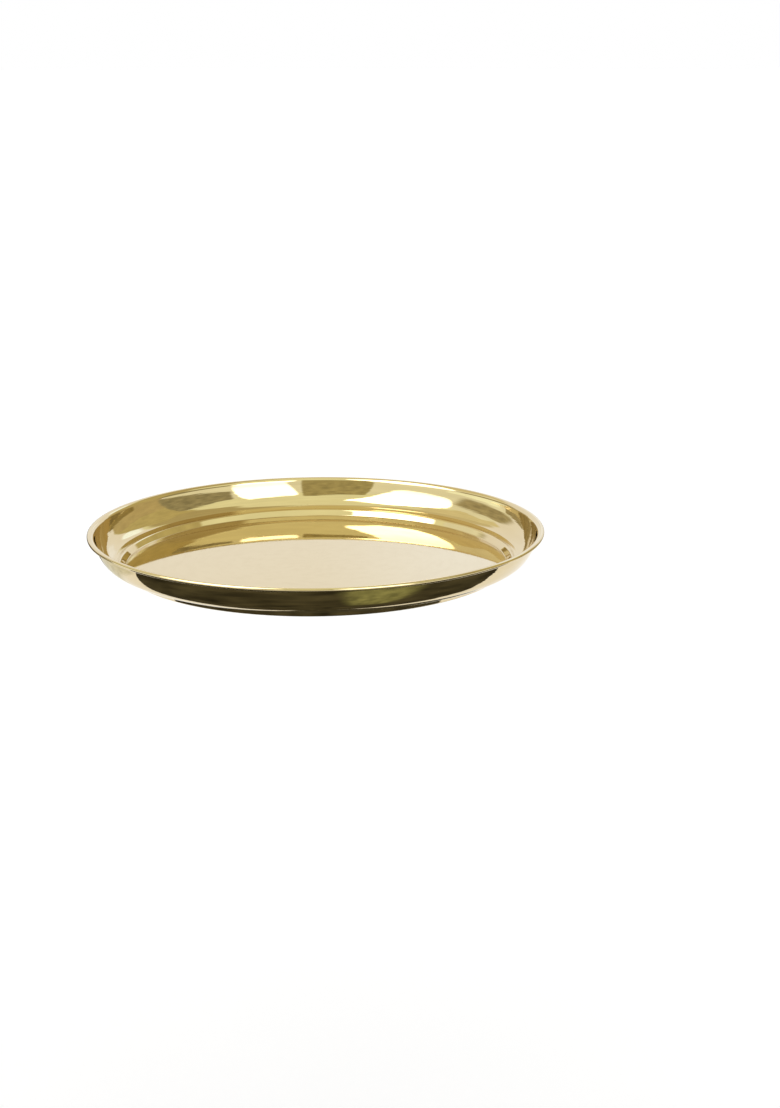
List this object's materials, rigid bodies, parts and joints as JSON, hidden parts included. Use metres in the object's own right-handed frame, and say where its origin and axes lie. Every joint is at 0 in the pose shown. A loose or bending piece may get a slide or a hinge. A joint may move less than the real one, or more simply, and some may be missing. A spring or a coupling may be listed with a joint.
{
  "type": "thali plate",
  "caption": "Round shallow metal dish: recessed flat floor, narrow ledge, curved wall and a flared lip rolled over a stiffening wire",
  "frame": {"origin": "centre of the resting face under the floor, with the plate standing on z = 0", "axes": "+Z is the axis that the plate is spun about and points up out of the dish; X and Y lie in the resting face, and the plate is the same in every direction about Z"},
  "size_m": [0.3, 0.3, 0.0242],
  "materials": {
    "polished_brass": "polished",
    "wire_brass": "drawn"
  },
  "bodies": {
    "root": {"plate_body": "polished_brass", "rim_wire": "wire_brass"}
  },
  "joints": []
}
